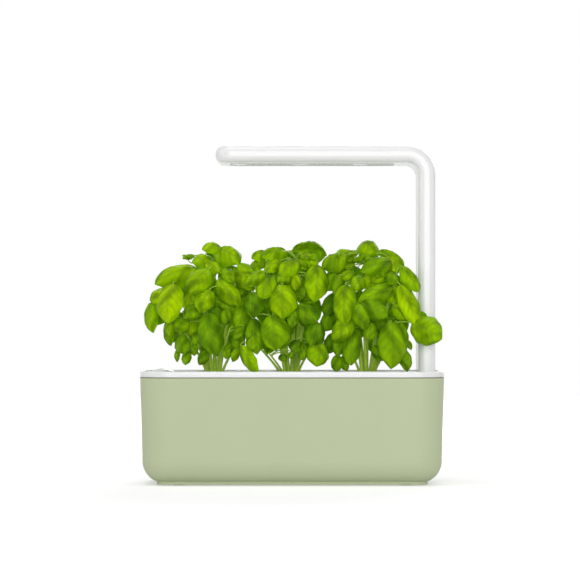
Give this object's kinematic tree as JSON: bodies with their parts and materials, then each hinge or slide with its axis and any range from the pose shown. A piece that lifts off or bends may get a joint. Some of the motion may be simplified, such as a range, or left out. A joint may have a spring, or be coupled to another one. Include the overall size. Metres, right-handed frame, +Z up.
{
  "type": "countertop hydroponic garden",
  "caption": "Countertop garden: a rounded green water tub with a white lid, basil plants in cups, a float gauge and an L-shaped overhead grow lamp on stacking arm tubes.",
  "frame": {"origin": "on the surface the tub stands on, below the middle of the tub", "axes": "+X along the tub towards the lamp's column, +Y towards the rear with the power inlet, +Z up"},
  "size_m": [0.3, 0.125, 0.3355],
  "materials": {
    "green_plastic": "smooth sage green matte plastic",
    "white_plastic": "satin white plastic",
    "rubber_dark": "soft dark rubber",
    "grey_plastic": "plain grey engineering plastic",
    "black_plastic": "fine grained black plastic",
    "steel": "bright zinc plated",
    "contact_brass": "bright contact metal",
    "board_green": "glass fibre circuit board",
    "wire_black": "insulated wire",
    "sink_aluminium": "milled plate",
    "lens_plastic": "frosted clear plastic",
    "led_plastic": "phosphor coated",
    "soil": "crumbly dark growing medium",
    "wick_fabric": "absorbent felt",
    "basil": "living leaves and stems, glossy on top"
  },
  "bodies": {
    "base": {"base_shell": "green_plastic", "foot_pads": "rubber_dark", "bay_gasket": "rubber_dark", "column_socket": "grey_plastic", "socket_screws": "steel", "socket_contacts": "contact_brass", "control_board": "board_green", "board_screws": "steel", "socket_wires": "wire_black", "power_inlet": "black_plastic", "inlet_nut": "steel", "inlet_wires": "wire_black"},
    "lid_tray": {"lid": "white_plastic"},
    "float": {"float_body": "white_plastic", "float_cap": "white_plastic"},
    "lower_extension": {"extension_lower": "white_plastic", "extension_lower_contacts": "contact_brass"},
    "upper_extension": {"extension_upper": "white_plastic", "extension_upper_contacts": "contact_brass"},
    "lamp": {"lamp_housing": "white_plastic", "lamp_cover": "white_plastic", "lens_left": "lens_plastic", "lens_middle": "lens_plastic", "lens_right": "lens_plastic", "led_chips": "led_plastic", "led_board": "board_green", "heat_sink": "sink_aluminium", "sink_screws": "steel", "terminal_block": "grey_plastic", "lamp_cable": "wire_black", "lamp_contacts": "contact_brass"},
    "plant_left": {"cup_left": "white_plastic", "pod_left": "black_plastic", "soil_left": "soil", "wick_left": "wick_fabric", "basil_left": "basil"},
    "plant_middle": {"cup_middle": "white_plastic", "pod_middle": "black_plastic", "soil_middle": "soil", "wick_middle": "wick_fabric", "basil_middle": "basil"},
    "plant_right": {"cup_right": "white_plastic", "pod_right": "black_plastic", "soil_right": "soil", "wick_right": "wick_fabric", "basil_right": "basil"}
  },
  "joints": [
    {"name": "lid_lift", "type": "slide", "parent": "base", "child": "lid_tray", "axis": [0, 0, 1], "range_m": [0, 0.075]},
    {"name": "float_ride", "type": "slide", "parent": "lid_tray", "child": "float", "axis": [0, 0, 1], "range_m": [-0.036, 0]},
    {"name": "cup_left_lift", "type": "slide", "parent": "lid_tray", "child": "plant_left", "axis": [0, 0, 1], "range_m": [0, 0.062]},
    {"name": "cup_middle_lift", "type": "slide", "parent": "lid_tray", "child": "plant_middle", "axis": [0, 0, 1], "range_m": [0, 0.062]},
    {"name": "cup_right_lift", "type": "slide", "parent": "lid_tray", "child": "plant_right", "axis": [0, 0, 1], "range_m": [0, 0.062]},
    {"name": "lower_extension_lift", "type": "slide", "parent": "base", "child": "lower_extension", "axis": [0, 0, 1], "range_m": [0, 0.025]},
    {"name": "upper_extension_lift", "type": "slide", "parent": "lower_extension", "child": "upper_extension", "axis": [0, 0, 1], "range_m": [0, 0.025]},
    {"name": "lamp_lift", "type": "slide", "parent": "upper_extension", "child": "lamp", "axis": [0, 0, 1], "range_m": [0, 0.025]}
  ]
}
